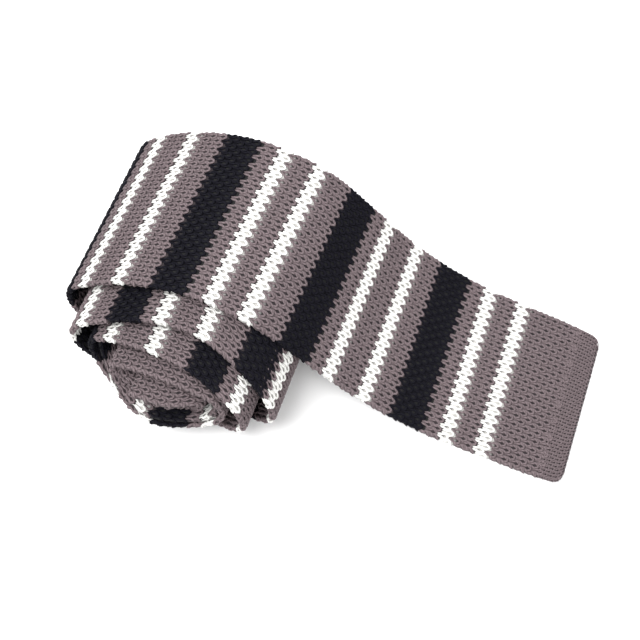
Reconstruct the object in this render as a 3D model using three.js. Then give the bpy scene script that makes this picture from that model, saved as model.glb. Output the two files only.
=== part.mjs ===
// A knitted necktie, folded in half at the neck, rolled up from the fold and laid down with the end of
// its blade lying out flat. Lengths are in millimetres and angles in degrees. X runs along the blade
// toward its hem, Y along the axis of the roll with the seen end toward -Y, and Z is up from the surface
// that the tie rests on.
import * as THREE from 'three';

// The knitted tube, pressed flat
const STRIP_THICKNESS = 2.0;
const BLADE_WIDTH = 60;
const NECK_WIDTH = 35.5;
const TAIL_WIDTH = 46;
const HEM_CUFF_LENGTH = 6.5;
const HEM_CORNER_RADIUS = 3.5;
const SEAM_GAP = 0.3;

// The roll, each turn of which is the blade with the tail inside it
const LAYER_GAP = 0.3;
const CROWN_RADIUS = 70;
const CROWN_SPAN = 43;
const FORWARD_CREEP = 44;

// The blade's way down from the roll to the surface
const LIE_FLAT_LENGTH = 34.5;
const LIFT_RADIUS = 74;
const SHOULDER_RADIUS = 37;
const DESCENT_ANGLE = 39;
const CROWN_ENTRY_ANGLE = 11;
const BLADE_YAW = 4.0;
const COURSE_SKEW = 7.4;

// How far in the tail stops, as a share of the blade's length from its hem
const TAIL_END_SHARE = 0.2;

// How finely the curved walls are cut
const STEP_LENGTH = 6.5;
const STEP_ANGLE = 15;
const FOLD_STEPS = 6;
const EDGE_STEPS = 4;

// Below this a length is left out of the path, and a bend counts as straight
const NEGLIGIBLE = 1e-9;

// Colours
const KNIT_COLOUR = '#857779';
const CUFF_COLOUR = '#7a6d6f';
const KNIT_ROUGHNESS = 0.95;

// Each turn's crown, from the outermost in: how far its arc reaches to each side of the top, as shares of
// CROWN_SPAN. The outermost has no right side, because the blade comes up to it from the surface.
const CROWNS = [
  { left: 1.0, right: 0 },
  { left: 0.84, right: 0.51 },
  { left: 0.68, right: 0.38 },
  { left: 0.46, right: 0.26 },
  { left: 0.27, right: 0.16 },
];

// How far each turn has crept toward the near end at its top, left, bottom and right, as shares of
// FORWARD_CREEP
const CREEP = [
  { top: 0.0, left: 0.11, bottom: 0.29, right: 0.515 },
  { top: 0.27, left: 0.46, bottom: 0.57, right: 0.75 },
  { top: 0.61, left: 0.655, bottom: 1.04, right: 0.875 },
  { top: 0.835, left: 0.835, bottom: 0.945, right: 0.895 },
  { top: 1.0, left: 1.0, bottom: 1.0, right: 1.0 },
];

// The blade's fullness along its length: 0 is the neck's width, 1 the blade's
const BLADE_FULLNESS = [
  { at: 0.0, fullness: 0.8 },
  { at: 0.017, fullness: 0.9 },
  { at: 0.07, fullness: 1.0 },
  { at: 0.175, fullness: 1.085 },
  { at: 0.29, fullness: 1.085 },
  { at: 0.63, fullness: 0.77 },
  { at: 0.8, fullness: 0.16 },
  { at: 1.0, fullness: 0.0 },
];

// The tail's fullness from the fold to its own hem: 0 is the neck's width, 1 the tail's
const TAIL_FULLNESS = [
  { at: 0.0, fullness: 0.0 },
  { at: 0.2, fullness: 0.1 },
  { at: 0.6, fullness: 0.9 },
  { at: 0.8, fullness: 1.0 },
  { at: 1.0, fullness: 0.93 },
];

// How much of COURSE_SKEW and of BLADE_YAW is left along the blade, from the hem to past the shoulder
const LIE = [
  { at: 0.0, skew: 0.5, yaw: 1.0 },
  { at: 0.085, skew: 1.0, yaw: 1.0 },
  { at: 0.175, skew: 0.3, yaw: 1.0 },
  { at: 0.205, skew: 0.0, yaw: 0.0 },
  { at: 1.0, skew: 0.0, yaw: 0.0 },
];

const radians = THREE.MathUtils.degToRad;
const HALF_TURN = Math.PI;
const QUARTER_TURN = Math.PI / 2;
const FULL_TURN = Math.PI * 2;
const halfThickness = STRIP_THICKNESS / 2;
const layerPitch = STRIP_THICKNESS + LAYER_GAP;
const turnPitch = 2 * layerPitch;
const rollHeight = turnPitch * (2 * CROWNS.length - 1) - LAYER_GAP;

// Straight-line reading of a table of rows by one of its columns
function readTable(rows, column, at) {
  const last = rows.length - 1;
  const next = Math.min(Math.max(rows.findIndex((row) => row.at >= at), 1), last);
  const low = rows[next - 1];
  const high = rows[next];
  const share = THREE.MathUtils.clamp((at - low.at) / (high.at - low.at), 0, 1);
  return low[column] + (high[column] - low[column]) * share;
}

// The roll's creep at a mark counted in quarter turns from the outermost top, smooth through the table
const creepKnots = CREEP.flatMap((turn) => [turn.top, turn.left, turn.bottom, turn.right]);
function creepAt(mark) {
  const knots = creepKnots;
  const last = knots.length - 1;
  const place = THREE.MathUtils.clamp(mark, 0, last);
  const index = Math.min(Math.floor(place), last - 1);
  const share = place - index;
  const slope = (i) => (i <= 0 || i >= last ? 0 : (knots[i + 1] - knots[i - 1]) / 2);
  const squared = share * share;
  const cubed = squared * share;
  return (
    knots[index] * (2 * cubed - 3 * squared + 1) +
    slope(index) * (cubed - 2 * squared + share) +
    knots[index + 1] * (3 * squared - 2 * cubed) +
    slope(index + 1) * (cubed - squared)
  );
}

// The blade's middle surface seen from the near end, as lines and arcs from the hem to the fold. A
// heading of 0 travels toward -X, and it falls by a full turn with each turn of the roll.
function bladePieces() {
  const pieces = [];
  const add = (length, from, to, marks) => {
    if (length > NEGLIGIBLE) pieces.push({ length, from, to, marks });
  };
  const arc = (radius, from, to, marks) => add(radius * Math.abs(to - from), from, to, marks);

  const crowns = CROWNS.map((row, turn) => {
    const radius = CROWN_RADIUS - turn * turnPitch - halfThickness;
    const top = rollHeight - turn * turnPitch - halfThickness;
    const side = (share) => {
      const reach = CROWN_SPAN * share;
      const angle = Math.asin(reach / radius);
      return { reach, angle, height: top - radius * (1 - Math.cos(angle)) };
    };
    const right = turn ? side(row.right) : undefined;
    return { radius, top, floor: turn * turnPitch + halfThickness, left: side(row.left), right };
  });

  const entry = radians(CROWN_ENTRY_ANGLE);
  const outer = crowns[0];
  const drop = outer.top - outer.radius * (1 - Math.cos(entry)) - halfThickness;
  const arcsDrop = (angle) =>
    SHOULDER_RADIUS * (Math.cos(entry) - Math.cos(angle)) + LIFT_RADIUS * (1 - Math.cos(angle));
  const steepest = Math.acos(
    (SHOULDER_RADIUS * Math.cos(entry) + LIFT_RADIUS - drop) / (SHOULDER_RADIUS + LIFT_RADIUS),
  );
  const descent = Math.min(radians(DESCENT_ANGLE), steepest);
  add(LIE_FLAT_LENGTH, 0, 0);
  arc(LIFT_RADIUS, 0, descent);
  add((drop - arcsDrop(descent)) / Math.sin(descent), descent, descent);
  arc(SHOULDER_RADIUS, descent, entry);

  crowns.forEach((crown, turn) => {
    const base = -FULL_TURN * turn;
    const mark = 4 * turn;
    const rightAngle = turn ? crown.right.angle : entry;
    arc(crown.radius, base + rightAngle, base, { end: mark });
    arc(crown.radius, base, base - crown.left.angle);
    const inner = crowns[turn + 1];
    if (!inner) return;
    const leftRadius = (crown.left.height - crown.floor) / (1 + Math.cos(crown.left.angle));
    const rightRadius = (inner.right.height - crown.floor) / (1 + Math.cos(inner.right.angle));
    const leftFoot = -crown.left.reach + leftRadius * Math.sin(crown.left.angle);
    const rightFoot = inner.right.reach - rightRadius * Math.sin(inner.right.angle);
    arc(leftRadius, base - crown.left.angle, base - QUARTER_TURN, { end: mark + 1 });
    arc(leftRadius, base - QUARTER_TURN, base - HALF_TURN);
    add((rightFoot - leftFoot) / 2, base - HALF_TURN, base - HALF_TURN, { end: mark + 2 });
    add((rightFoot - leftFoot) / 2, base - HALF_TURN, base - HALF_TURN);
    arc(rightRadius, base - HALF_TURN, base - HALF_TURN - QUARTER_TURN, { end: mark + 3 });
    arc(rightRadius, base - HALF_TURN - QUARTER_TURN, base - FULL_TURN + inner.right.angle);
  });
  return pieces;
}

// Where a travel of some length along a line or an arc ends
function travel(start, piece, length) {
  const bend = (piece.to - piece.from) / piece.length;
  const heading = piece.from + bend * length;
  if (Math.abs(bend) < NEGLIGIBLE) {
    return {
      x: start.x - Math.cos(heading) * length,
      z: start.z + Math.sin(heading) * length,
      heading,
    };
  }
  return {
    x: start.x - (Math.sin(heading) - Math.sin(piece.from)) / bend,
    z: start.z - (Math.cos(heading) - Math.cos(piece.from)) / bend,
    heading,
  };
}

// The whole path, with the start of each piece, and the lengths at which the creep's marks fall
function bladePath() {
  const pieces = bladePieces();
  const marks = [];
  let place = { x: 0, z: halfThickness };
  let length = 0;
  for (const piece of pieces) {
    piece.start = place;
    piece.at = length;
    place = travel(place, piece, piece.length);
    length += piece.length;
    if (piece.marks) marks.push({ at: length, mark: piece.marks.end });
  }
  marks.push({ at: length, mark: marks.at(-1).mark + 1 });
  return { pieces, marks, length };
}

const path = bladePath();
const apexAt = path.marks[0].at;

// Past either end the path runs straight on
function onPath(at) {
  const held = THREE.MathUtils.clamp(at, 0, path.length);
  const piece = path.pieces.findLast((each) => each.at <= held);
  const place = travel(piece.start, piece, held - piece.at);
  const over = at - held;
  return {
    x: place.x - Math.cos(place.heading) * over,
    z: place.z + Math.sin(place.heading) * over,
    heading: place.heading,
  };
}

const apexX = onPath(apexAt).x;

// How far toward +Y the middle of the strip lies: on the blade's way down it follows its yaw, and in the
// roll it follows the creep
function sideways(at) {
  if (at < apexAt) return (apexX - onPath(at).x) * Math.tan(radians(BLADE_YAW));
  return -FORWARD_CREEP * creepAt(readTable(path.marks, 'mark', at));
}

// One of the strip's two edges at a station of the blade, and the normal of the outer face there. The
// courses of the knit run askew where the blade lies out, so the two edges sit at different lengths.
function edgePoint(at, offset, layer) {
  const skew = radians(COURSE_SKEW * readTable(LIE, 'skew', at / path.length));
  const askew = at + offset * Math.tan(skew);
  const place = onPath(askew);
  const yaw = radians(BLADE_YAW * readTable(LIE, 'yaw', askew / path.length));
  const normal = new THREE.Vector3(Math.sin(place.heading), 0, Math.cos(place.heading));
  const point = new THREE.Vector3(
    place.x + offset * Math.sin(yaw),
    sideways(askew) + offset * Math.cos(yaw),
    place.z,
  );
  return { point: point.addScaledVector(normal, -layer * layerPitch), normal };
}

// A station of the blade: its two edges, and which way its outer face looks
function bladeStation(at, width) {
  return { near: edgePoint(at, -width / 2, 0), far: edgePoint(at, width / 2, 0) };
}

// A station of the tail, one layer further in, whose outer face looks the other way
function tailStation(at, width) {
  const near = edgePoint(at, -width / 2, 1);
  const far = edgePoint(at, width / 2, 1);
  near.normal.negate();
  far.normal.negate();
  return { near, far };
}

// The fold in the neck, where the blade turns under and becomes the tail
function foldStations() {
  const end = onPath(path.length);
  const middle = sideways(path.length);
  const radius = layerPitch / 2;
  return Array.from({ length: FOLD_STEPS - 1 }, (_, step) => {
    const heading = end.heading - (HALF_TURN * (step + 1)) / FOLD_STEPS;
    const normal = new THREE.Vector3(Math.sin(heading), 0, Math.cos(heading));
    const edge = (offset) => {
      const point = new THREE.Vector3(end.x, middle + offset, end.z);
      point.x -= Math.sin(end.heading) * radius;
      point.z -= Math.cos(end.heading) * radius;
      return { point: point.addScaledVector(normal, radius), normal: normal.clone() };
    };
    return { near: edge(-NECK_WIDTH / 2), far: edge(NECK_WIDTH / 2) };
  });
}

const bladeWidth = (at) =>
  NECK_WIDTH +
  (BLADE_WIDTH - NECK_WIDTH) * readTable(BLADE_FULLNESS, 'fullness', at / path.length);
const tailEndAt = path.length * TAIL_END_SHARE;
const tailLength = path.length - tailEndAt;
const tailWidth = (at) =>
  NECK_WIDTH +
  (TAIL_WIDTH - NECK_WIDTH) * readTable(TAIL_FULLNESS, 'fullness', (path.length - at) / tailLength);

// What a rounded corner takes off each side of the strip, so far from the end of its hem
function cornerLoss(fromEnd) {
  const inside = Math.max(HEM_CORNER_RADIUS - fromEnd, 0);
  return HEM_CORNER_RADIUS - Math.sqrt(HEM_CORNER_RADIUS ** 2 - inside ** 2);
}

// Lengths along the blade at which it is cut into stations, between two lengths
function stationLengths(from, to) {
  const cuts = [from];
  for (const piece of path.pieces) {
    const turned = THREE.MathUtils.radToDeg(Math.abs(piece.to - piece.from));
    const steps = Math.ceil(Math.max(piece.length / STEP_LENGTH, turned / STEP_ANGLE));
    for (let step = 1; step <= steps; step += 1) {
      const at = piece.at + (piece.length * step) / steps;
      if (at > from + SEAM_GAP && at < to - SEAM_GAP) cuts.push(at);
    }
  }
  return [...cuts, to];
}

// Lengths from a hem's end at which its rounded corners are cut
const cornerCuts = Array.from({ length: EDGE_STEPS }, (_, step) => {
  return HEM_CORNER_RADIUS * (1 - Math.cos((QUARTER_TURN * (step + 0.5)) / EDGE_STEPS));
});
const cuffCuts = [...cornerCuts, HEM_CUFF_LENGTH];

// The ring of points round the strip at a station, with rounded edges
function ring({ near, far }) {
  const points = [];
  for (const [edge, other] of [[near, far], [far, near]]) {
    const outward = edge.point.clone().sub(other.point).normalize();
    const middle = edge.point.clone().addScaledVector(outward, -halfThickness);
    for (let step = 0; step <= EDGE_STEPS; step += 1) {
      const angle = (HALF_TURN * step) / EDGE_STEPS;
      const up = edge === near ? -Math.cos(angle) : Math.cos(angle);
      points.push(
        middle
          .clone()
          .addScaledVector(edge.normal, halfThickness * up)
          .addScaledVector(outward, halfThickness * Math.sin(angle)),
      );
    }
  }
  return points;
}

// A closed body through the rings of its stations
function loft(stations) {
  const rings = stations.map(ring);
  const count = rings[0].length;
  const positions = rings.flat().flatMap((point) => point.toArray());
  const index = [];
  for (let row = 0; row + 1 < rings.length; row += 1) {
    for (let column = 0; column < count; column += 1) {
      const a = row * count + column;
      const b = row * count + ((column + 1) % count);
      index.push(a, b, b + count, a, b + count, a + count);
    }
  }
  const last = (rings.length - 1) * count;
  for (let column = 1; column + 1 < count; column += 1) {
    index.push(0, column + 1, column);
    index.push(last, last + column, last + column + 1);
  }
  const geometry = new THREE.BufferGeometry();
  geometry.setAttribute('position', new THREE.Float32BufferAttribute(positions, 3));
  geometry.setIndex(index);
  geometry.computeVertexNormals();
  return geometry;
}

function frontHemCuff() {
  return loft(cuffCuts.map((at) => bladeStation(at, bladeWidth(at) - 2 * cornerLoss(at))));
}

function tailHemCuff() {
  return loft(
    cuffCuts.toReversed().map((fromEnd) => {
      const at = tailEndAt + fromEnd;
      return tailStation(at, tailWidth(at) - 2 * cornerLoss(fromEnd));
    }),
  );
}

// The knitted strip itself, one piece from cuff to cuff: the blade, the fold in the neck and the tail
function knittedStrip() {
  const bladeFrom = HEM_CUFF_LENGTH + SEAM_GAP;
  const tailTo = tailEndAt + HEM_CUFF_LENGTH + SEAM_GAP;
  const blade = stationLengths(bladeFrom, path.length);
  const tail = stationLengths(tailTo, path.length).toReversed();
  return loft([
    ...blade.map((at) => bladeStation(at, bladeWidth(at))),
    ...foldStations(),
    ...tail.map((at) => tailStation(at, tailWidth(at))),
  ]);
}

function mesh(name, geometry, color) {
  const material = new THREE.MeshStandardMaterial({ color, roughness: KNIT_ROUGHNESS, metalness: 0 });
  const piece = new THREE.Mesh(geometry, material);
  piece.name = name;
  return piece;
}

const tie = new THREE.Group();
tie.name = 'knit_tie';
tie.add(mesh('knitted_strip', knittedStrip(), KNIT_COLOUR));
tie.add(mesh('front_hem_cuff', frontHemCuff(), CUFF_COLOUR));
tie.add(mesh('tail_hem_cuff', tailHemCuff(), CUFF_COLOUR));

// The tie is moved so that the middle of its underside is the origin
const box = new THREE.Box3().setFromObject(tie);
const middle = box.getCenter(new THREE.Vector3());
for (const piece of tie.children) piece.geometry.translate(-middle.x, -middle.y, -box.min.z);

export default tie;
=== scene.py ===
"""A rolled knit tie: its tuck-stitch knit, stripes and ribbed hems, laid over its solids."""

import sys
import logging
import math
from dataclasses import dataclass, field
from enum import Enum
from functools import cached_property

import bmesh
import bpy
import numpy as np
from mathutils import Matrix, Vector
from mathutils.kdtree import KDTree


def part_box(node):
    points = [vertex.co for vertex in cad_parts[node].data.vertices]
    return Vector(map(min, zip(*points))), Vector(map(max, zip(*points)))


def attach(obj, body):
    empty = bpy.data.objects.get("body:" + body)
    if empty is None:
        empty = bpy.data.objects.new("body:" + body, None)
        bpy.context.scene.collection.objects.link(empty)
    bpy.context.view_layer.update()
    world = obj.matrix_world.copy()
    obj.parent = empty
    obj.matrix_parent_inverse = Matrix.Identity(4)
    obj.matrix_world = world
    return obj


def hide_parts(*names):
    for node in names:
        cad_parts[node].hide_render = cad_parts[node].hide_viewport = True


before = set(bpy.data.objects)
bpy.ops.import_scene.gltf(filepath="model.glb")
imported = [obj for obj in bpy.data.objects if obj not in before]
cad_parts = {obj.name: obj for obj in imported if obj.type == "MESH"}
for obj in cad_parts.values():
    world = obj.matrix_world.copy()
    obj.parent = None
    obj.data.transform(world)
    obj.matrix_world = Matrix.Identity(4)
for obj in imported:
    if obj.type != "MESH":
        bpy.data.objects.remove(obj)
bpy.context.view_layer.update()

LOG = logging.getLogger("knit_tie")
MILLIMETRE = 0.001
HALF_TURN = math.pi
QUARTER_TURN = math.pi / 2
FULL_TURN = math.pi * 2
MAP_NAME = "OFBake"
BACKING_SHADE_COLOUR_NAME = "backing_colour_in_painted_shade"
TILES = 8
WELD_DISTANCE = 1e-7
EDGE_STEPS = 60

Array = np.ndarray
Object = bpy.types.Object
Socket = bpy.types.NodeSocket
Laid = dict[str, Array]
Triple = tuple[float, float, float]
Table = tuple[tuple[float, float], ...]


class Yarn(Enum):
    """The three yarns of the stripes."""

    GREY = "grey"
    WHITE = "white"
    BLACK = "black"


class Detail(Enum):
    """How finely a stitch is modelled: close to the eye, or deep in the roll."""

    FINE = "fine"
    PLAIN = "plain"


@dataclass(frozen=True)
class TieSizes:
    """The tie's sizes in millimetres and degrees, the same as the solids have."""

    thickness: float = 2.0
    blade_width: float = 60.0
    neck_width: float = 35.5
    tail_width: float = 46.0
    cuff_length: float = 6.5
    corner_radius: float = 3.5
    seam_gap: float = 0.3
    layer_gap: float = 0.3
    crown_radius: float = 70.0
    crown_span: float = 43.0
    forward_creep: float = 44.0
    lie_flat_length: float = 34.5
    lift_radius: float = 74.0
    shoulder_radius: float = 37.0
    descent_angle: float = 39.0
    crown_entry_angle: float = 11.0
    blade_yaw: float = 4.0
    course_skew: float = 7.4
    tail_end_share: float = 0.2
    crowns: Table = ((1.0, 0.0), (0.84, 0.51), (0.68, 0.38), (0.46, 0.26), (0.27, 0.16))
    creep: tuple[float, ...] = (
        *(0.0, 0.11, 0.29, 0.515),
        *(0.27, 0.46, 0.57, 0.75),
        *(0.61, 0.655, 1.04, 0.875),
        *(0.835, 0.835, 0.945, 0.895),
        *(1.0, 1.0, 1.0, 1.0),
    )
    blade_fullness: Table = (
        (0.0, 0.8), (0.017, 0.9), (0.07, 1.0), (0.175, 1.085), (0.29, 1.085), (0.63, 0.77),
        (0.8, 0.16), (1.0, 0.0),
    )
    tail_fullness: Table = ((0.0, 0.0), (0.2, 0.1), (0.6, 0.9), (0.8, 1.0), (1.0, 0.93))
    skew_shares: Table = ((0.0, 0.5), (0.085, 1.0), (0.175, 0.3), (0.205, 0.0))
    yaw_shares: Table = ((0.0, 1.0), (0.175, 1.0), (0.205, 0.0))

    @property
    def half(self) -> float:
        """Half the strip's thickness."""
        return self.thickness / 2

    @property
    def layer_pitch(self) -> float:
        """From one layer of the roll to the next."""
        return self.thickness + self.layer_gap

    @property
    def turn_pitch(self) -> float:
        """From one turn of the roll to the next, each of the blade and the tail."""
        return 2 * self.layer_pitch

    @property
    def roll_height(self) -> float:
        """The height of the roll on the surface."""
        return self.turn_pitch * (2 * len(self.crowns) - 1) - self.layer_gap


def read(rows: Table, at: Array) -> Array:
    """Reads a table of places and values along straight lines.

    Args:
        rows: The table's places and their values.
        at: Where to read it.

    Returns:
        The values there, held past both ends.
    """
    places, values = zip(*rows)
    return np.interp(at, places, values)


class RollPath:
    """The way that the strip takes: along the blade to the fold in the neck, and back along the tail."""

    def __init__(self, sizes: TieSizes) -> None:
        """Lays out the lines and arcs of the roll.

        Args:
            sizes: The tie's sizes.
        """
        self.sizes = sizes
        self.pieces: list[Triple] = []
        self.mark_rows: list[tuple[float, float]] = []
        self._lay_out()
        lengths = np.array([piece[0] for piece in self.pieces])
        self.starts = np.concatenate([[0], np.cumsum(lengths)[:-1]])
        self.length = float(lengths.sum())
        self.headings = np.array([piece[1] for piece in self.pieces])
        self.bends = np.array([(to - start) / length for length, start, to in self.pieces])
        self.origins = self._origins(lengths)
        self.mark_rows.append((self.length, self.mark_rows[-1][1] + 1))
        self.apex_at = self.mark_rows[0][0]
        self.apex_x = float(self.place(np.array([self.apex_at]))[0][0])
        self.fold_length = HALF_TURN * sizes.layer_pitch / 2
        self.tail_end_at = self.length * sizes.tail_end_share
        self.tail_length = self.length - self.tail_end_at
        self.total = self.length + self.fold_length + self.tail_length

    def _add(self, length: float, start: float, end: float, mark: int | None = None) -> None:
        """Adds a line or an arc.

        Args:
            length: Its length.
            start: The heading that it starts with.
            end: The heading that it ends with.
            mark: The quarter mark of the roll at its end, if there is one.
        """
        if length > 0:
            self.pieces.append((length, start, end))
        if mark is not None:
            self.mark_rows.append((sum(piece[0] for piece in self.pieces), mark))

    def _arc(self, radius: float, start: float, end: float, mark: int | None = None) -> None:
        """Adds an arc of some radius between two headings."""
        self._add(radius * abs(end - start), start, end, mark)

    def _lay_out(self) -> None:
        """Adds every line and arc from the blade's hem to the fold."""
        s = self.sizes
        crowns = []
        for turn, (left, right) in enumerate(s.crowns):
            radius = s.crown_radius - turn * s.turn_pitch - s.half
            top = s.roll_height - turn * s.turn_pitch - s.half
            sides = []
            for share in (left, right):
                angle = math.asin(s.crown_span * share / radius)
                sides.append((s.crown_span * share, angle, top - radius * (1 - math.cos(angle))))
            crowns.append((radius, top, turn * s.turn_pitch + s.half, *sides))
        entry = math.radians(s.crown_entry_angle)
        outer_radius, outer_top = crowns[0][:2]
        drop = outer_top - outer_radius * (1 - math.cos(entry)) - s.half
        both = s.shoulder_radius + s.lift_radius
        steepest = math.acos((s.shoulder_radius * math.cos(entry) + s.lift_radius - drop) / both)
        descent = min(math.radians(s.descent_angle), steepest)
        by_arcs = s.shoulder_radius * (math.cos(entry) - math.cos(descent))
        by_arcs += s.lift_radius * (1 - math.cos(descent))
        self._add(s.lie_flat_length, 0, 0)
        self._arc(s.lift_radius, 0, descent)
        self._add((drop - by_arcs) / math.sin(descent), descent, descent)
        self._arc(s.shoulder_radius, descent, entry)
        for turn, (radius, _, floor, left, right) in enumerate(crowns):
            base = -FULL_TURN * turn
            self._arc(radius, base + (right[1] if turn else entry), base, 4 * turn)
            self._arc(radius, base, base - left[1])
            if turn + 1 == len(crowns):
                break
            next_right = crowns[turn + 1][4]
            left_radius = (left[2] - floor) / (1 + math.cos(left[1]))
            right_radius = (next_right[2] - floor) / (1 + math.cos(next_right[1]))
            left_foot = -left[0] + left_radius * math.sin(left[1])
            right_foot = next_right[0] - right_radius * math.sin(next_right[1])
            under = (right_foot - left_foot) / 2
            self._arc(left_radius, base - left[1], base - QUARTER_TURN, 4 * turn + 1)
            self._arc(left_radius, base - QUARTER_TURN, base - HALF_TURN)
            self._add(under, base - HALF_TURN, base - HALF_TURN, 4 * turn + 2)
            self._add(under, base - HALF_TURN, base - HALF_TURN)
            self._arc(right_radius, base - HALF_TURN, base - HALF_TURN - QUARTER_TURN, 4 * turn + 3)
            self._arc(right_radius, base - HALF_TURN - QUARTER_TURN, base - FULL_TURN + next_right[1])

    @staticmethod
    def _travel(start: Array, heading: Array, bend: Array, length: Array) -> tuple:
        """Travels along lines or arcs.

        Args:
            start: Where they start, as x and z.
            heading: The headings there.
            bend: How fast they turn.
            length: How far to travel.

        Returns:
            The x, the z and the heading at the end of each.
        """
        end = heading + bend * length
        straight = np.abs(bend) < 1e-9
        safe = np.where(straight, 1, bend)
        back = np.where(straight, np.cos(end) * length, (np.sin(end) - np.sin(heading)) / safe)
        down = np.where(straight, -np.sin(end) * length, (np.cos(end) - np.cos(heading)) / safe)
        return start[..., 0] - back, start[..., 1] - down, end

    def _origins(self, lengths: Array) -> Array:
        """Finds where each line and arc starts, as x and z."""
        rows = [(0.0, self.sizes.half)]
        for heading, bend, length in zip(self.headings, self.bends, lengths):
            x, z, _ = self._travel(np.array(rows[-1]), heading, bend, length)
            rows.append((float(x), float(z)))
        return np.array(rows[:-1])

    def place(self, at: Array) -> tuple[Array, Array, Array]:
        """Finds places along the blade.

        Args:
            at: Lengths from the hem, which may run past either end.

        Returns:
            The x, the z and the heading at each.
        """
        held = np.clip(at, 0, self.length)
        index = np.clip(np.searchsorted(self.starts, held, side="right") - 1, 0, len(self.starts) - 1)
        x, z, heading = self._travel(
            self.origins[index], self.headings[index], self.bends[index], held - self.starts[index]
        )
        over = at - held
        return x - np.cos(heading) * over, z + np.sin(heading) * over, heading

    def creep(self, mark: Array) -> Array:
        """Reads how far the roll has crept toward its near end, smoothly through the table.

        Args:
            mark: Quarter turns from the outermost top.

        Returns:
            The shares of the whole creep.
        """
        knots = np.array(self.sizes.creep)
        slopes = np.zeros(len(knots))
        slopes[1:-1] = (knots[2:] - knots[:-2]) / 2
        mark = np.clip(mark, 0, len(knots) - 1)
        i = np.minimum(mark.astype(int), len(knots) - 2)
        t = mark - i
        return (
            knots[i] * (2 * t**3 - 3 * t**2 + 1)
            + slopes[i] * (t**3 - 2 * t**2 + t)
            + knots[i + 1] * (3 * t**2 - 2 * t**3)
            + slopes[i + 1] * (t**3 - t**2)
        )

    def sideways(self, at: Array) -> Array:
        """Finds how far toward +Y the middle of the strip lies at some lengths of the blade."""
        down = (self.apex_x - self.place(at)[0]) * math.tan(math.radians(self.sizes.blade_yaw))
        rolled = -self.sizes.forward_creep * self.creep(read(tuple(self.mark_rows), at))
        return np.where(at < self.apex_at, down, rolled)

    def width(self, along: Array) -> Array:
        """Finds the strip's width, with the rounded corners of its hems taken off.

        Args:
            along: Lengths from the blade's hem, over the fold and down the tail.

        Returns:
            The widths there.
        """
        s = self.sizes
        blade = s.neck_width + (s.blade_width - s.neck_width) * read(s.blade_fullness, along / self.length)
        down_tail = (along - self.length - self.fold_length) / self.tail_length
        tail = s.neck_width + (s.tail_width - s.neck_width) * read(s.tail_fullness, down_tail)
        full = np.where(along < self.length, blade, tail)
        from_end = np.clip(np.minimum(along, self.total - along), 0, s.corner_radius)
        inside = s.corner_radius - from_end
        return full - 2 * (s.corner_radius - np.sqrt(s.corner_radius**2 - inside**2))

    def blade_at(self, along: Array) -> Array:
        """Finds the length of the blade's path that lies at, or just outside, places of the strip."""
        back = 2 * self.length + self.fold_length - along
        return np.where(along < self.length, along, np.minimum(back, self.length))

    def point(self, along: Array, offset: Array, height: Array) -> Array:
        """Finds points of the strip.

        Args:
            along: Lengths of the strip.
            offset: How far across, toward +Y from the middle.
            height: How far above the middle surface, on the side that is the outer one on the blade.

        Returns:
            The points, in millimetres, before the tie is moved onto its origin.
        """
        s = self.sizes
        over = np.clip((along - self.length) / self.fold_length, 0, 1)
        at = self.blade_at(along)
        skew = np.radians(s.course_skew * read(s.skew_shares, at / self.length))
        askew = at + offset * np.tan(skew)
        x, z, heading = self.place(askew)
        yaw = np.radians(s.blade_yaw * read(s.yaw_shares, askew / self.length))
        up = np.stack([np.sin(heading), np.zeros_like(heading), np.cos(heading)], -1)
        ahead = np.stack([-np.cos(heading), np.zeros_like(heading), np.sin(heading)], -1)
        middle = np.stack([x + offset * np.sin(yaw), self.sideways(askew) + offset * np.cos(yaw), z], -1)
        centre = middle - up * (s.layer_pitch / 2)
        turned = over[..., None] * HALF_TURN
        outward = up * np.cos(turned) + ahead * np.sin(turned)
        return centre + outward * (s.layer_pitch / 2 + height)[..., None]


@dataclass(frozen=True)
class Section:
    """The core of the strip, seen from its end: two flat faces and two round edges, under the stitches."""

    path: RollPath
    core: float = 0.5
    end_round: float = 1.1
    least_taper: float = 0.3
    row_lean: Table = ((0.0, 0.0), (20.0, 0.0), (50.0, -2.2), (190.0, -1.6), (230.0, 0.0))

    @property
    def edge(self) -> float:
        """The way round one round edge."""
        return HALF_TURN * self.core

    def flat(self, along: Array) -> Array:
        """Measures across one flat face at some lengths of the strip."""
        return self.path.width(along) - self.path.sizes.thickness

    def perimeter(self, along: Array) -> Array:
        """Measures round the core at some lengths of the strip."""
        return 2 * (self.flat(along) + self.edge)

    def taper(self, along: Array) -> Array:
        """Finds how far the strip thins toward the rounded end of each hem, as a share."""
        from_end = np.clip(np.minimum(along, self.path.total - along) / self.end_round, 0, 1)
        return np.maximum(np.sqrt(1 - (1 - from_end) ** 2), self.least_taper)

    def skin(self, along: Array, share: Array, rise: Array) -> Array:
        """Finds points over the core.

        Args:
            along: Lengths of the strip.
            share: Places round the core, from 0 at the near edge of the blade's outer face, to 1.
            rise: Heights over the core.

        Returns:
            The points in metres, in the part's frame.
        """
        flat, edge = self.flat(along), self.edge
        q = np.mod(share, 1) * self.perimeter(along)
        on_outer = q < flat
        on_far = (q >= flat) & (q < flat + edge)
        on_inner = (q >= flat + edge) & (q < 2 * flat + edge)
        far_angle = (q - flat) / self.core
        near_angle = (q - 2 * flat - edge) / self.core
        reach = self.core + rise
        offset = np.select(
            [on_outer, on_far, on_inner],
            [q - flat / 2, flat / 2 + reach * np.sin(far_angle), flat * 1.5 + edge - q],
            -flat / 2 - reach * np.sin(near_angle),
        )
        height = np.select(
            [on_outer, on_far, on_inner],
            [reach, reach * np.cos(far_angle), -reach],
            -reach * np.cos(near_angle),
        )
        leaned = along + offset * np.tan(np.radians(read(self.row_lean, along)))
        points = self.path.point(leaned, offset, height * self.taper(along))
        return (points - SHIFT) * MILLIMETRE


SIZES = TieSizes()
PATH = RollPath(SIZES)


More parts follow.
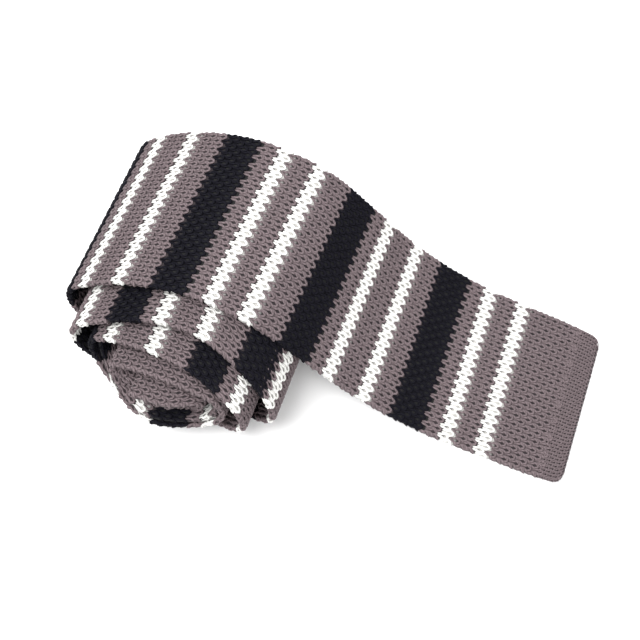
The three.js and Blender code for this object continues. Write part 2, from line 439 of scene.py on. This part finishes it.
def part_shift() -> Array:
    """Finds how the solids were moved onto their origin, from the front hem's box.

    Returns:
        The move in millimetres.
    """
    cuff_low, cuff_high = (np.array(corner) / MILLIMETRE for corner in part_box("front_hem_cuff"))
    at = np.linspace(0, SIZES.cuff_length, EDGE_STEPS)
    half_width = PATH.width(at) / 2
    edges = np.concatenate([PATH.point(at, side * half_width, np.zeros_like(at)) for side in (-1, 1)])
    return np.array([edges[:, 0].max() - cuff_high[0], edges[:, 1].min() - cuff_low[1], 0.0])


SHIFT = part_shift()


@dataclass(frozen=True)
class StripeChart:
    """The stripes, charted by rows of stitches over one repeat, and how the repeat lies along the strip.

    Each stripe of a repeat has its yarn's letter, its middle as a share of the repeat, and its rows. The
    blade and the tail have tables of lengths of the blade's path, each with the repeats counted there.
    The steep step in the tail's table passes over one white stripe.
    """

    repeat: tuple[tuple[str, float, int], ...] = (("K", 0.0, 6), ("W", 0.395, 2), ("W", 0.7, 2))
    row_pitch: float = 2.08
    row_match: float = 0.1
    first_stripe_at: float = 22.0
    plain_from: float = 590.0
    blade: Table = (
        (6.5, -1.0), (25.9, -0.605), (52.3, 0.0), (98.5, 1.0), (144.3, 2.0), (164.0, 2.395),
        (177.3, 2.7), (190.5, 3.0), (297.5, 5.7), (309.0, 6.0), (326.5, 6.395), (343.0, 6.7),
        (355.5, 7.0), (372.2, 7.395), (389.0, 8.0), (470.0, 9.7), (480.5, 10.0),
        (501.0, 10.395), (516.5, 10.7), (530.0, 11.0), (543.8, 11.395), (558.0, 11.7),
        (567.5, 12.0), (578.5, 12.395), (600.0, 12.55),
    )
    tail: Table = (
        (130.0, 9.42), (195.0, 8.0), (535.5, 1.0), (538.5, 0.9), (539.5, 0.5), (561.5, 0.395),
        (571.5, 0.0), (582.5, -0.3), (600.0, -0.55),
    )

    @cached_property
    def rows(self) -> Array:
        """The yarn's letter of every row, from the blade's hem, over the fold and down the tail."""
        along = (np.arange(int(PATH.total / self.row_pitch) + 2) + 0.5) * self.row_pitch
        at = PATH.blade_at(along)
        letters = np.full(len(along), "G")
        for on_face, table, low in (
            (along < PATH.length, self.blade, self.first_stripe_at),
            (along >= PATH.length, self.tail, 0.0),
        ):
            phase = read(table, at)
            striped = on_face & (at > low) & (at < self.plain_from)
            for letter, middle, rows in self.repeat:
                away = np.abs(np.mod(phase - middle + 0.5, 1) - 0.5)
                nearest = (away <= np.roll(away, 1)) & (away < np.roll(away, -1))
                for row in np.flatnonzero(nearest & striped & (away < self.row_match)):
                    letters[row - (rows - 1) // 2 : row + 1 + rows // 2] = letter
        letters[along > PATH.total - self.first_stripe_at] = "G"
        return letters

    def yarns(self, along: Array) -> Array:
        """Tells which yarn lies at some places along the whole strip, as a letter for each."""
        index = np.clip((along / self.row_pitch).astype(int), 0, len(self.rows) - 1)
        return self.rows[index]


LETTERS = {"G": Yarn.GREY, "W": Yarn.WHITE, "K": Yarn.BLACK}
LIGHTNESS = {"G": 1, "W": 2, "K": 0}


def put_in_scene(name: str, data: bpy.types.ID) -> Object:
    """Adds an object to the scene."""
    made = bpy.data.objects.new(name, data)
    bpy.context.collection.objects.link(made)
    return made


class NodeTree:
    """A new material's nodes, each added with its settings and inputs in one step."""

    def __init__(self, name: str, roughness: float) -> None:
        """Starts the material.

        Args:
            name: The material's name.
            roughness: How rough its surface is.
        """
        self.material = bpy.data.materials.new(name)
        self.material.use_nodes = True
        self.shader = self.material.node_tree.nodes["Principled BSDF"]
        self.shader.inputs["Roughness"].default_value = roughness

    def feed(self, node: bpy.types.Node, inputs: dict[str | int, object]) -> None:
        """Sets or links a node's inputs.

        Args:
            node: The node.
            inputs: A number, or another node's output, for each input.
        """
        for key, value in inputs.items():
            if isinstance(value, Socket):
                self.material.node_tree.links.new(value, node.inputs[key])
            else:
                node.inputs[key].default_value = value

    def add(self, kind: str, inputs: dict[str | int, object], **settings: object) -> bpy.types.Node:
        """Adds a node.

        Args:
            kind: The node's type.
            inputs: A number, or another node's output, for each input.
            settings: The node's own settings.

        Returns:
            The node.
        """
        node = self.material.node_tree.nodes.new(kind)
        for key, value in settings.items():
            setattr(node, key, value)
        self.feed(node, inputs)
        return node

    def math(self, operation: str, *inputs: object) -> Socket:
        """Adds a sum of numbers or other nodes' outputs, and returns its result."""
        return self.add("ShaderNodeMath", dict(enumerate(inputs)), operation=operation).outputs[0]

    def mix(self, share: float, first: Socket, second: Socket) -> Socket:
        """Blends two numbers, with some share of the second, and returns the blend."""
        inputs = {"Factor": share, "A": first, "B": second}
        return self.add("ShaderNodeMix", inputs, data_type="FLOAT").outputs["Result"]

    def noise(self, place: Socket, scale: float, detail: float) -> Socket:
        """Adds noise, and returns its strength."""
        inputs = {"Vector": place, "Scale": scale, "Detail": detail}
        return self.add("ShaderNodeTexNoise", inputs).outputs["Fac"]

    def relief(self, height: Socket, strength: float, depth: float, sunk: bool = False) -> None:
        """Raises the surface by a height, or sinks it.

        Args:
            height: The height, as a share of the depth.
            strength: How strongly it shows.
            depth: How deep it is, in metres.
            sunk: Whether it sinks.
        """
        inputs = {"Strength": strength, "Distance": depth, "Height": height}
        bump = self.add("ShaderNodeBump", inputs, invert=sunk)
        self.feed(self.shader, {"Normal": bump.outputs["Normal"]})


@dataclass(frozen=True)
class YarnFinish:
    """A plied yarn: strands that wind round each other, with fibres along them and a soft sheen.

    The scales are for one stitch's part of the map. The colour is darker where the relief sinks, between
    the strands, as painted shade; the heather varies the yarn's own tone.
    """

    name: str
    light: Triple
    dark: Triple
    sheen: float
    sheen_roughness: float = 0.45
    roughness: float = 0.7
    specular: float = 0.08
    plies: float = 2.0
    twist: float = 6.0
    twist_share: float = 0.55
    fibre_scale: float = 9.0
    fibre_detail: float = 4.0
    heather_scale: float = 0.8
    heather_detail: float = 1.0
    heather_share: float = 0.35
    dark_at: float = 0.15
    light_at: float = 0.8
    relief: float = 0.55
    relief_depth: float = 0.00012

    def material(self) -> bpy.types.Material:
        """Builds the yarn's material, which reads the stitches' own map.

        Returns:
            The material.
        """
        tree = NodeTree(self.name, self.roughness)
        sheen = {"Sheen Weight": self.sheen, "Sheen Roughness": self.sheen_roughness}
        tree.feed(tree.shader, {"Specular IOR Level": self.specular, **sheen})
        place = tree.add("ShaderNodeUVMap", {}, uv_map=MAP_NAME).outputs["UV"]
        split = tree.add("ShaderNodeSeparateXYZ", {"Vector": place})
        around = tree.math("MULTIPLY", split.outputs["Y"], TILES * self.plies)
        wound = tree.math("MULTIPLY_ADD", split.outputs["X"], TILES * self.twist, around)
        wave = tree.math("SINE", tree.math("MULTIPLY", wound, FULL_TURN))
        strands = tree.add("ShaderNodeMapRange", {"From Min": -1, "Value": wave}).outputs[0]
        fibres = tree.noise(place, TILES * self.fibre_scale, self.fibre_detail)
        heather = tree.noise(place, TILES * self.heather_scale, self.heather_detail)
        surface = tree.mix(1 - self.twist_share, strands, fibres)
        # Painted shade: the ramp's dark end falls where the relief sinks, in the grooves between the
        # strands; the heather is the yarn's own tone.
        ramp = tree.add("ShaderNodeValToRGB", {"Fac": tree.mix(self.heather_share, surface, heather)})
        dark, light = ramp.color_ramp.elements
        dark.position, dark.color = self.dark_at, (*self.dark, 1)
        light.position, light.color = self.light_at, (*self.light, 1)
        tree.feed(tree.shader, {"Base Color": ramp.outputs["Color"]})
        tree.relief(surface, self.relief, self.relief_depth)
        return tree.material


@dataclass(frozen=True)
class BackingFinish:
    """What lies behind the stitches: the yarns' backs, striped as the face is and painted much darker, as
    painted shade in the pits.
    """

    name: str
    roughness: float = 0.9
    purl_scale: float = 900.0
    raised_painted_light: float = 1.1
    sunk_painted_shade: float = 0.6
    relief: float = 0.8
    relief_depth: float = 0.0004

    def material(self) -> bpy.types.Material:
        """Builds the backing's material, coloured by the piece's own attribute, with painted light on the
        raised purl and painted shade where it sinks.

        Returns:
            The material.
        """
        tree = NodeTree(self.name, self.roughness)
        colour = tree.add("ShaderNodeAttribute", {}, attribute_name=BACKING_SHADE_COLOUR_NAME).outputs["Color"]
        place = tree.add("ShaderNodeTexCoord", {}).outputs["Object"]
        cells = tree.add("ShaderNodeTexVoronoi", {"Scale": self.purl_scale, "Vector": place})
        purl = cells.outputs["Distance"]
        # Painted light and shade: the raised purl is painted lighter and its sunk edges darker.
        tones = {"To Min": self.raised_painted_light, "To Max": self.sunk_painted_shade}
        shade = tree.add("ShaderNodeMapRange", {"Value": purl, **tones})
        painted_purl_shade_inputs = {"Vector": colour, "Scale": shade.outputs[0]}
        painted_purl_shade = tree.add("ShaderNodeVectorMath", painted_purl_shade_inputs, operation="SCALE")
        tree.feed(tree.shader, {"Base Color": painted_purl_shade.outputs["Vector"]})
        tree.relief(purl, self.relief, self.relief_depth, sunk=True)
        return tree.material


FINISHES = {
    Yarn.GREY: YarnFinish("grey_yarn", (0.19, 0.15, 0.158), (0.066, 0.05, 0.054), sheen=0.05),
    Yarn.WHITE: YarnFinish("white_yarn", (0.78, 0.78, 0.76), (0.52, 0.51, 0.49), sheen=0.02),
    Yarn.BLACK: YarnFinish("black_yarn", (0.0075, 0.007, 0.012), (0.0015, 0.0015, 0.0025), sheen=0.0),
}
# The backing's colours are each stripe's yarn painted much darker: painted shade in the pits between the
# stitches.
BACKING_STRIPES_IN_PAINTED_SHADE = {"G": (0.03, 0.022, 0.025), "W": (0.5, 0.49, 0.47), "K": (0.003, 0.003, 0.004)}


@dataclass(frozen=True)
class StitchUnit:
    """One stitch as arrays: its points, its faces, and its map along and round the yarn."""

    points: Array
    corners: Array
    face_sizes: Array
    uvs: Array


@dataclass(frozen=True)
class Stitch:
    """A held stitch: a hairpin of yarn whose rounded tip lies over the head of the one before it.

    The table gives half the hairpin, from its tip to its head: across in wales, along in stitch lengths
    and rise over the core in millimetres.
    """

    radius: float = 0.41
    table: tuple[Triple, ...] = (
        (0.0, 0.0, 0.34), (0.28, 0.08, 0.36), (0.53, 0.25, 0.28), (0.44, 0.42, 0.22),
        (0.25, 0.56, 0.22), (0.27, 0.95, -0.2),
    )
    sides: int = 5

    def route(self, wale: float, length: float) -> list[Vector]:
        """Lists the points of the whole hairpin.

        Args:
            wale: The width of a wale.
            length: The stitch's length.

        Returns:
            The points from one head to the other.
        """
        half = [Vector((across * wale, along * length, rise)) for across, along, rise in self.table]
        return [Vector((-p.x, p.y, p.z)) for p in reversed(half[1:])] + half

    def unit(self, wale: float, length: float) -> StitchUnit:
        """Sweeps the yarn along its hairpin.

        Args:
            wale: The width of a wale.
            length: The stitch's length.

        Returns:
            The stitch's arrays.
        """
        route = self.route(wale, length)
        last = len(route) - 1
        spans = [(route[min(i + 1, last)], route[max(i - 1, 0)]) for i in range(last + 1)]
        tangents = [(ahead - behind).normalized() for ahead, behind in spans]
        made = bmesh.new()
        angle_layer = made.verts.layers.float.new("angle")
        along_layer = made.verts.layers.float.new("along")
        bmesh.ops.create_circle(made, segments=self.sides, radius=self.radius, cap_ends=True)
        made.verts.ensure_lookup_table()
        for index, vert in enumerate(made.verts):
            vert[angle_layer] = index / self.sides
        pose = self._pose(route[0], tangents[0])
        bmesh.ops.transform(made, matrix=pose, verts=made.verts[:])
        cap = made.faces[:]
        for index in range(1, last + 1):
            drawn_out = bmesh.ops.extrude_face_region(made, geom=cap, use_keep_orig=index == 1)
            if index > 1:
                bmesh.ops.delete(made, geom=[face for face in cap if face.is_valid], context="FACES_ONLY")
            verts = [g for g in drawn_out["geom"] if isinstance(g, bmesh.types.BMVert)]
            cap = [g for g in drawn_out["geom"] if isinstance(g, bmesh.types.BMFace)]
            next_pose = self._pose(route[index], tangents[index])
            bmesh.ops.transform(made, matrix=next_pose @ pose.inverted(), verts=verts)
            for vert in verts:
                vert[along_layer] = index / last
            pose = next_pose
        bmesh.ops.recalc_face_normals(made, faces=made.faces[:])
        unit = self._arrays(made, angle_layer, along_layer)
        made.free()
        return unit

    @staticmethod
    def _pose(place: Vector, tangent: Vector) -> Matrix:
        """Stands a ring of the yarn across its route."""
        side = tangent.cross(Vector((0, 0, 1))).normalized()
        up = side.cross(tangent)
        turned = Matrix((side, up, tangent)).transposed().to_4x4()
        return Matrix.Translation(place) @ turned

    @staticmethod
    def _arrays(made: bmesh.types.BMesh, angle_layer: object, along_layer: object) -> StitchUnit:
        """Reads a swept stitch into arrays, in the same order every time.

        Args:
            made: The stitch.
            angle_layer: Where each point lies round the yarn.
            along_layer: Where it lies along the yarn.

        Returns:
            The stitch's arrays.
        """
        verts = sorted(made.verts, key=lambda vert: (vert[along_layer], vert[angle_layer]))
        places = {vert: index for index, vert in enumerate(verts)}
        points = np.array([vert.co[:] for vert in verts])
        rings = sorted(([places[vert] for vert in face.verts] for face in made.faces), key=sorted)
        corners, uvs = [], []
        for ring in rings:
            angles = [verts[index][angle_layer] for index in ring]
            is_cap = len({verts[index][along_layer] for index in ring}) == 1
            wraps = not is_cap and max(angles) - min(angles) > 0.5
            corners.extend(ring)
            for index, angle in zip(ring, angles):
                uvs.append((verts[index][along_layer], angle + 1 if wraps and angle < 0.5 else angle))
        sizes = [len(ring) for ring in rings]
        return StitchUnit(points, np.array(corners), np.array(sizes), np.array(uvs))


@dataclass
class StitchField:
    """Rows of stitches over a stretch of the strip, every other wale in each row."""

    start: float
    end: float
    row_pitch: float
    pairs: tuple[tuple[float, int], ...]

    def lay(self) -> Laid:
        """Places the stitches.

        Returns:
            For every stitch its place along and round the strip, and its wale as a share of the way round.
        """
        rows = np.arange(math.floor((self.end - self.start) / self.row_pitch))
        found: dict[str, list[Array]] = {"along": [], "share": [], "wale": []}
        places, counts = zip(*self.pairs)
        for row in rows:
            along = self.start + row * self.row_pitch
            count = counts[max(int(np.searchsorted(places, along, side="right")) - 1, 0)]
            share = (np.arange(count) + 0.5 * (row % 2) + 0.25) / count
            found["along"].append(np.full(count, along))
            found["share"].append(share)
            found["wale"].append(np.full(count, 1 / (2 * count)))
        return {key: np.concatenate(parts) for key, parts in found.items()}


@dataclass(frozen=True)
class Unevenness:
    """How far a stitch lies from its even place, in millimetres, and how steeply it leans."""

    place: float = 0.035
    rise_share: float = 0.6
    lean: float = 0.015


def join_stitches(
    name: str, unit: StitchUnit, section: Section, laid: Laid, wale: float, seed: int
) -> Object:
    """Makes one mesh of many stitches, each bent over the core where it lies.

    Args:
        name: The piece's name.
        unit: The stitch that is repeated.
        section: The core that the stitches lie on.
        laid: The places of the stitches.
        wale: The wale's width that the unit was made for.
        seed: What the hand-made unevenness starts from.

    Returns:
        The piece.
    """
    chance = np.random.default_rng(seed)
    count, size = len(laid["along"]), len(unit.points)
    round_it = section.perimeter(laid["along"])
    spread = laid["wale"] * round_it / wale
    uneven = Unevenness()
    nudge = chance.normal(0, uneven.place, (count, 3))
    lean = chance.normal(0, uneven.lean, count)
    x = unit.points[None, :, 0] * spread[:, None] + nudge[:, :1]
    y = unit.points[None, :, 1] + nudge[:, 1:2]
    x = x + y * lean[:, None]
    rise = unit.points[None, :, 2] + nudge[:, 2:3] * uneven.rise_share
    share = laid["share"][:, None] + x / round_it[:, None]
    points = section.skin((laid["along"][:, None] + y).ravel(), share.ravel(), rise.ravel())
    mesh = bpy.data.meshes.new(name)
    corners = (unit.corners[None, :] + (np.arange(count) * size)[:, None]).ravel().astype(np.int32)
    sizes = np.tile(unit.face_sizes, count).astype(np.int32)
    mesh.vertices.add(count * size)
    mesh.vertices.foreach_set("co", points.astype(np.float32).ravel())
    mesh.loops.add(len(corners))
    mesh.loops.foreach_set("vertex_index", corners)
    mesh.polygons.add(len(sizes))
    mesh.polygons.foreach_set("loop_start", (np.cumsum(sizes) - sizes).astype(np.int32))
    mesh.polygons.foreach_set("loop_total", sizes)
    mesh.polygons.foreach_set("use_smooth", np.ones(len(sizes), bool))
    tile = chance.integers(0, TILES * TILES, count)
    corner = np.stack([tile % TILES, tile // TILES], -1)
    uv = (unit.uvs[None] + corner[:, None, :]) / TILES
    layer = mesh.uv_layers.new(name=MAP_NAME)
    layer.data.foreach_set("uv", uv.astype(np.float32).ravel())
    mesh.update(calc_edges=True)
    mesh.validate()
    return put_in_scene(name, mesh)


@dataclass
class Knit:
    """The knit over the strip between its two ribbed hems.

    The pairs give how many stitches each row has, from a length of the strip on. The bands are how far
    from the near or the far edge the stitches of a face show, and so are made.
    """

    section: Section
    chart: StripeChart = field(default_factory=StripeChart)
    wale: float = 1.68
    pairs: tuple[tuple[float, int], ...] = (
        (0.0, 36), (380.0, 34), (440.0, 31), (490.0, 28), (540.0, 24), (600.0, 22), (810.0, 23),
        (920.0, 25), (1030.0, 27), (1090.0, 28),
    )
    dark_set_back: float = 1.0
    light_set_back: float = 0.6
    blade_pieces_to: float = 262.0
    roll_from: float = 345.0
    lifted_to: float = 135.0
    near_band: float = 26.0
    back_band: float = 13.0
    tail_near_band: float = 14.0
    tail_far_band: float = 24.0
    tail_back_band: float = 4.0
    fine_band: float = 6.0
    core_before_fold: float = 30.0
    core_after_fold: float = 90.0
    seed: int = 11

    def build(self) -> list[Object]:
        """Builds the stitches, as one piece for each yarn and stretch of the strip.

        Returns:
            The pieces.
        """
        pitch = self.chart.row_pitch
        start = SIZES.cuff_length + SIZES.seam_gap
        laid = StitchField(start, PATH.total - start, pitch, self.pairs).lay()
        shown, fine = self._shown(laid)
        letters = self.chart.yarns(laid["along"] + pitch / 2)
        before = self.chart.yarns(laid["along"] - pitch / 2)
        step = np.array([LIGHTNESS[a] - LIGHTNESS[b] for a, b in zip(letters, before)])
        laid["along"] += np.select([step < 0, step > 0], [self.dark_set_back, self.light_set_back])
        plain = Stitch(table=tuple(Stitch.table[row] for row in (0, 2, -1)), sides=4)
        units = {
            Detail.FINE: Stitch().unit(self.wale, 2 * pitch),
            Detail.PLAIN: plain.unit(self.wale, 2 * pitch),
        }
        stretches = {
            "blade": (0, self.blade_pieces_to),
            "roll": (self.blade_pieces_to, PATH.length),
            "tail": (PATH.length, PATH.total),
        }
        pieces = []
        for stretch, (low, high) in stretches.items():
            within = (laid["along"] >= low) & (laid["along"] < high) & shown
            for letter, yarn in LETTERS.items():
                for detail, unit in units.items():
                    chosen = within & (letters == letter) & (fine == (detail is Detail.FINE))
                    if not chosen.any():
                        continue
                    name = f"{stretch}_{yarn.value}_stitches_{detail.value}"
                    part = {key: values[chosen] for key, values in laid.items()}
                    seed = self.seed + len(pieces)
                    piece = join_stitches(name, unit, self.section, part, self.wale, seed)
                    dress(piece, FINISHES[yarn].material(), "knitted_strip")
                    LOG.info("%s: %d stitches", name, chosen.sum())
                    pieces.append(piece)
        return pieces

    def _shown(self, laid: Laid) -> tuple[Array, Array]:
        """Tells which stitches can be seen at all, and which are near the eye.

        Args:
            laid: The places of the stitches.

        Returns:
            Whether each is shown, and whether it is modelled finely.
        """
        along = laid["along"]
        flat, edge = self.section.flat(along), self.section.edge
        q = np.mod(laid["share"], 1) * self.section.perimeter(along)
        outer = q < flat
        inner = (q > flat + edge) & (q < 2 * flat + edge)
        from_near = np.where(outer, q, np.where(inner, 2 * flat + edge - q, 0))
        from_far = flat - from_near
        on_edge = ~outer & ~inner
        blade = along < PATH.length
        past_fold = along - PATH.length
        core = (past_fold > -self.core_before_fold) & (past_fold < self.core_after_fold)
        lies_out = along < self.roll_from
        lifted = along < self.lifted_to
        by_back_band = (from_near < self.back_band) | (from_far < self.back_band)
        by_tail_band = (from_near < self.tail_near_band) | (from_far < self.tail_far_band)
        by_tail_back_band = (from_near < self.tail_back_band) | (from_far < self.tail_back_band)
        by_near_band = from_near < self.near_band
        blade_shown = (outer & (lies_out | by_near_band)) | (inner & (lifted | by_back_band))
        tail_shown = (outer & (core | by_tail_band)) | (inner & by_tail_back_band)
        shown = on_edge | np.where(blade, blade_shown, tail_shown)
        fine = (blade & outer & shown) | (on_edge & blade) | (outer & (from_near < self.fine_band))
        return shown, fine


@dataclass
class HemRib:
    """The dense, fine rib that closes one end of the strip."""

    name: str
    node: str
    section: Section
    start: float
    end: float
    pairs: int = 46
    row_pitch: float = 0.86
    wale: float = 1.2
    yarn_radius: float = 0.27
    seed: int = 71

    def build(self) -> Object:
        """Builds the rib's stitches.

        Returns:
            The rib, as one piece.
        """
        laid = StitchField(self.start, self.end, self.row_pitch, ((0.0, self.pairs),)).lay()
        unit = Stitch(radius=self.yarn_radius).unit(self.wale, 2 * self.row_pitch)
        piece = join_stitches(self.name, unit, self.section, laid, self.wale, self.seed)
        dress(piece, FINISHES[Yarn.GREY].material(), self.node)
        LOG.info("%s: %d stitches", self.name, len(laid["along"]))
        return piece


@dataclass
class Backing:
    """The closed tube of cloth, pressed flat, that the stitches lie on.

    Its map is laid out in rows, and each point takes the yarn that lies a little before it.
    """

    section: Section
    chart: StripeChart = field(default_factory=StripeChart)
    station: float = 1.04
    faces_round: int = 28
    column_steps: tuple[float, ...] = (0.0, 0.32, 0.5, 0.82, 1.0)
    map_rows: int = 10
    map_margin: float = 0.02
    colour_lag: float = 1 / 3

    def build(self, name: str, start: float, end: float, node: str) -> Object:
        """Builds one stretch of the tube.

        Args:
            name: The piece's name.
            start: Where it starts, from the blade's hem.
            end: Where it ends.
            node: The solid that it stands for.

        Returns:
            The piece.
        """
        stations = max(round((end - start) / self.station), 4)
        made = bmesh.new()
        layer = made.loops.layers.uv.new(MAP_NAME)
        bmesh.ops.create_grid(made, x_segments=stations, y_segments=self.faces_round, size=0.5)
        made.verts.ensure_lookup_table()
        grid = np.array([vert.co[:2] for vert in made.verts]) + 0.5
        along = start + grid[:, 0] * (end - start)
        shares = self._shares(along, grid[:, 1])
        points = self.section.skin(along, shares, np.zeros(len(along)))
        for vert, place in zip(made.verts, points):
            vert.co = place
        self._map(made, layer, grid)
        bmesh.ops.remove_doubles(made, verts=made.verts[:], dist=WELD_DISTANCE)
        bmesh.ops.holes_fill(made, edges=[edge for edge in made.edges if edge.is_boundary], sides=0)
        bmesh.ops.recalc_face_normals(made, faces=made.faces[:])
        mesh = bpy.data.meshes.new(name)
        made.to_mesh(mesh)
        made.free()
        mesh.polygons.foreach_set("use_smooth", np.ones(len(mesh.polygons), bool))
        self._colour(mesh, points, along)
        piece = put_in_scene(name, mesh)
        dress(piece, BackingFinish(f"{name}_cloth").material(), node)
        LOG.info("%s: %d faces", name, len(mesh.polygons))
        return piece

    def _shares(self, along: Array, across: Array) -> Array:
        """Spreads the grid's columns round the core, with enough of them on its round edges.

        Args:
            along: Lengths of the strip.
            across: The grid's columns, from 0 to 1.

        Returns:
            The places round the core.
        """
        flat, edge = self.section.flat(along), self.section.edge
        whole = self.section.perimeter(along)
        corners = np.stack([0 * flat, flat, flat + edge, 2 * flat + edge, whole], -1) / whole[:, None]
        steps = np.array(self.column_steps)
        column = np.clip(np.searchsorted(steps, across, side="right") - 1, 0, len(steps) - 2)
        share = (across - steps[column]) / (steps[column + 1] - steps[column])
        row = np.arange(len(along))
        found = corners[row, column] * (1 - share) + corners[row, column + 1] * share
        return np.where(across < 1, found, 0)

    def _map(self, made: bmesh.types.BMesh, layer: object, grid: Array) -> None:
        """Lays the long tube's map out in rows that fill the square.

        Args:
            made: The tube, still as a grid.
            layer: Its map.
            grid: The grid's places.
        """
        for face in made.faces:
            middle = float(np.mean([grid[loop.vert.index, 0] for loop in face.loops]))
            row = min(int(middle * self.map_rows), self.map_rows - 1)
            for loop in face.loops:
                x, y = grid[loop.vert.index]
                height = self.map_margin + (1 - 2 * self.map_margin) * y
                loop[layer].uv = (x * self.map_rows - row, (row + height) / self.map_rows)

    def _colour(self, mesh: bpy.types.Mesh, points: Array, along: Array) -> None:
        """Colours the tube in its stripes' yarns, painted much darker as painted shade in the pits between
        the stitches.

        Args:
            mesh: The tube.
            points: The grid's points, before doubles were merged.
            along: Where they lie along the strip.
        """
        tree = KDTree(len(points))
        for index, place in enumerate(points):
            tree.insert(place, index)
        tree.balance()
        nearest = [tree.find(vert.co)[1] for vert in mesh.vertices]
        letters = self.chart.yarns(along[nearest] - self.station * self.colour_lag)
        attribute = mesh.color_attributes.new(BACKING_SHADE_COLOUR_NAME, "FLOAT_COLOR", "POINT")
        colours = np.array([(*BACKING_STRIPES_IN_PAINTED_SHADE[letter], 1) for letter in letters], np.float32)
        attribute.data.foreach_set("color", colours.ravel())


def dress(piece: Object, material: bpy.types.Material, node: str) -> None:
    """Gives a piece its finish and its place in the frame.

    Args:
        piece: The piece.
        material: Its finish.
        node: The solid that it stands for.
    """
    piece.data.materials.append(material)
    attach(piece, "root")
    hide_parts(node)


@dataclass(frozen=True)
class Studio:
    """The pale floor, the soft light and the camera at the photograph's angle."""

    azimuth: float = 20.0
    elevation: float = 66.0
    distance: float = 0.350
    lens: float = 55.645
    target_from_apex: tuple[float, float] = (32.66, -7.48)
    clip_start: float = 0.01
    world_strength: float = 0.62
    floor_drop: float = 0.0003
    floor_size: float = 3.0
    floor_tone: float = 0.92
    floor_roughness: float = 0.8
    floor_specular: float = 0.1
    lamps: tuple[tuple[str, Triple, float, float], ...] = (
        ("key_light", (-0.3, -0.15, 0.65), 0.6, 8.0),
        ("fill_light", (0.5, -0.35, 0.45), 0.6, 3.0),
        ("back_light", (0.05, 0.6, 0.5), 0.5, 3.0),
    )

    def build(self) -> None:
        """Sets up the floor, the lights and the camera."""
        self._floor()
        for lamp in self.lamps:
            self._light(*lamp)
        world = bpy.data.worlds.new("studio")
        world.use_nodes = True
        background = world.node_tree.nodes["Background"]
        background.inputs["Color"].default_value = (1, 1, 1, 1)
        background.inputs["Strength"].default_value = self.world_strength
        bpy.context.scene.world = world
        bpy.context.scene.view_settings.view_transform = "Standard"
        self._camera()

    def _floor(self) -> None:
        """Lays the pale floor."""
        made = bmesh.new()
        bmesh.ops.create_grid(made, x_segments=1, y_segments=1, size=self.floor_size)
        bmesh.ops.translate(made, vec=Vector((0, 0, -self.floor_drop)), verts=made.verts[:])
        mesh = bpy.data.meshes.new("floor")
        made.to_mesh(mesh)
        made.free()
        tree = NodeTree("pale_floor", self.floor_roughness)
        tone = (*[self.floor_tone] * 3, 1)
        tree.feed(tree.shader, {"Base Color": tone, "Specular IOR Level": self.floor_specular})
        mesh.materials.append(tree.material)
        floor = put_in_scene("floor", mesh)

    @staticmethod
    def _light(name: str, place: Triple, size: float, power: float) -> None:
        """Hangs a soft square light that faces the tie.

        Args:
            name: The light's name.
            place: Where it hangs.
            size: Its side.
            power: Its power in watts.
        """
        light = bpy.data.lights.new(name, "AREA")
        light.shape = "SQUARE"
        light.size = size
        light.energy = power
        lamp = put_in_scene(name, light)
        lamp.location = place
        lamp.rotation_euler = (-Vector(place)).to_track_quat("-Z", "Y").to_euler()

    def _camera(self) -> None:
        """Stands the camera where the photograph was taken from."""
        target = np.array([PATH.apex_x + self.target_from_apex[0], self.target_from_apex[1], 0.0])
        target = Vector((target - SHIFT * (1, 1, 0)) * MILLIMETRE)
        a, e = math.radians(self.azimuth), math.radians(self.elevation)
        back = Vector((math.sin(a) * math.cos(e), -math.cos(a) * math.cos(e), math.sin(e)))
        data = bpy.data.cameras.new("camera")
        data.lens = self.lens
        data.clip_start = self.clip_start
        camera = put_in_scene("camera", data)
        camera.location = target + back * self.distance
        camera.rotation_euler = (-back).to_track_quat("-Z", "Y").to_euler()
        bpy.context.scene.camera = camera


# How far inside each hem its rib starts, and how far past its cuff's seam the rib runs onto the strip.
FRONT_RIB_INSET, FRONT_RIB_OVERLAP = 0.1, 2.6
TAIL_RIB_INSET, TAIL_RIB_OVERLAP = 1.4, 0.9
TAIL_RIB_PAIRS = 34


def main() -> None:
    """Builds the tie and its studio, and reports each piece."""
    logging.basicConfig(level=logging.INFO, format="%(name)s %(message)s", stream=sys.stdout)
    section = Section(PATH)
    Studio().build()
    cuff, total = SIZES.cuff_length, PATH.total
    inside = cuff + SIZES.seam_gap
    backing = Backing(section)
    strip = backing.build("strip_backing", inside, total - inside, "knitted_strip")
    front = backing.build("front_hem_backing", 0.0, cuff, "front_hem_cuff")
    tail = backing.build("tail_hem_backing", total - cuff, total, "tail_hem_cuff")
    stitches = Knit(section).build()
    front_ends = (FRONT_RIB_INSET, inside + FRONT_RIB_OVERLAP)
    tail_ends = (total - inside - TAIL_RIB_OVERLAP, total - TAIL_RIB_INSET)
    ribs = [
        HemRib("front_hem_rib", "front_hem_cuff", section, *front_ends).build(),
        HemRib("tail_hem_rib", "tail_hem_cuff", section, *tail_ends, pairs=TAIL_RIB_PAIRS).build(),
    ]
    pieces = [strip, front, tail, *stitches, *ribs]
    triangles = {piece.name: len(piece.data.loops) - 2 * len(piece.data.polygons) for piece in pieces}
    most = max(triangles.values())
    LOG.info("triangles: %d in all, %d in the largest piece", sum(triangles.values()), most)


if __name__ == "__main__":
    main()
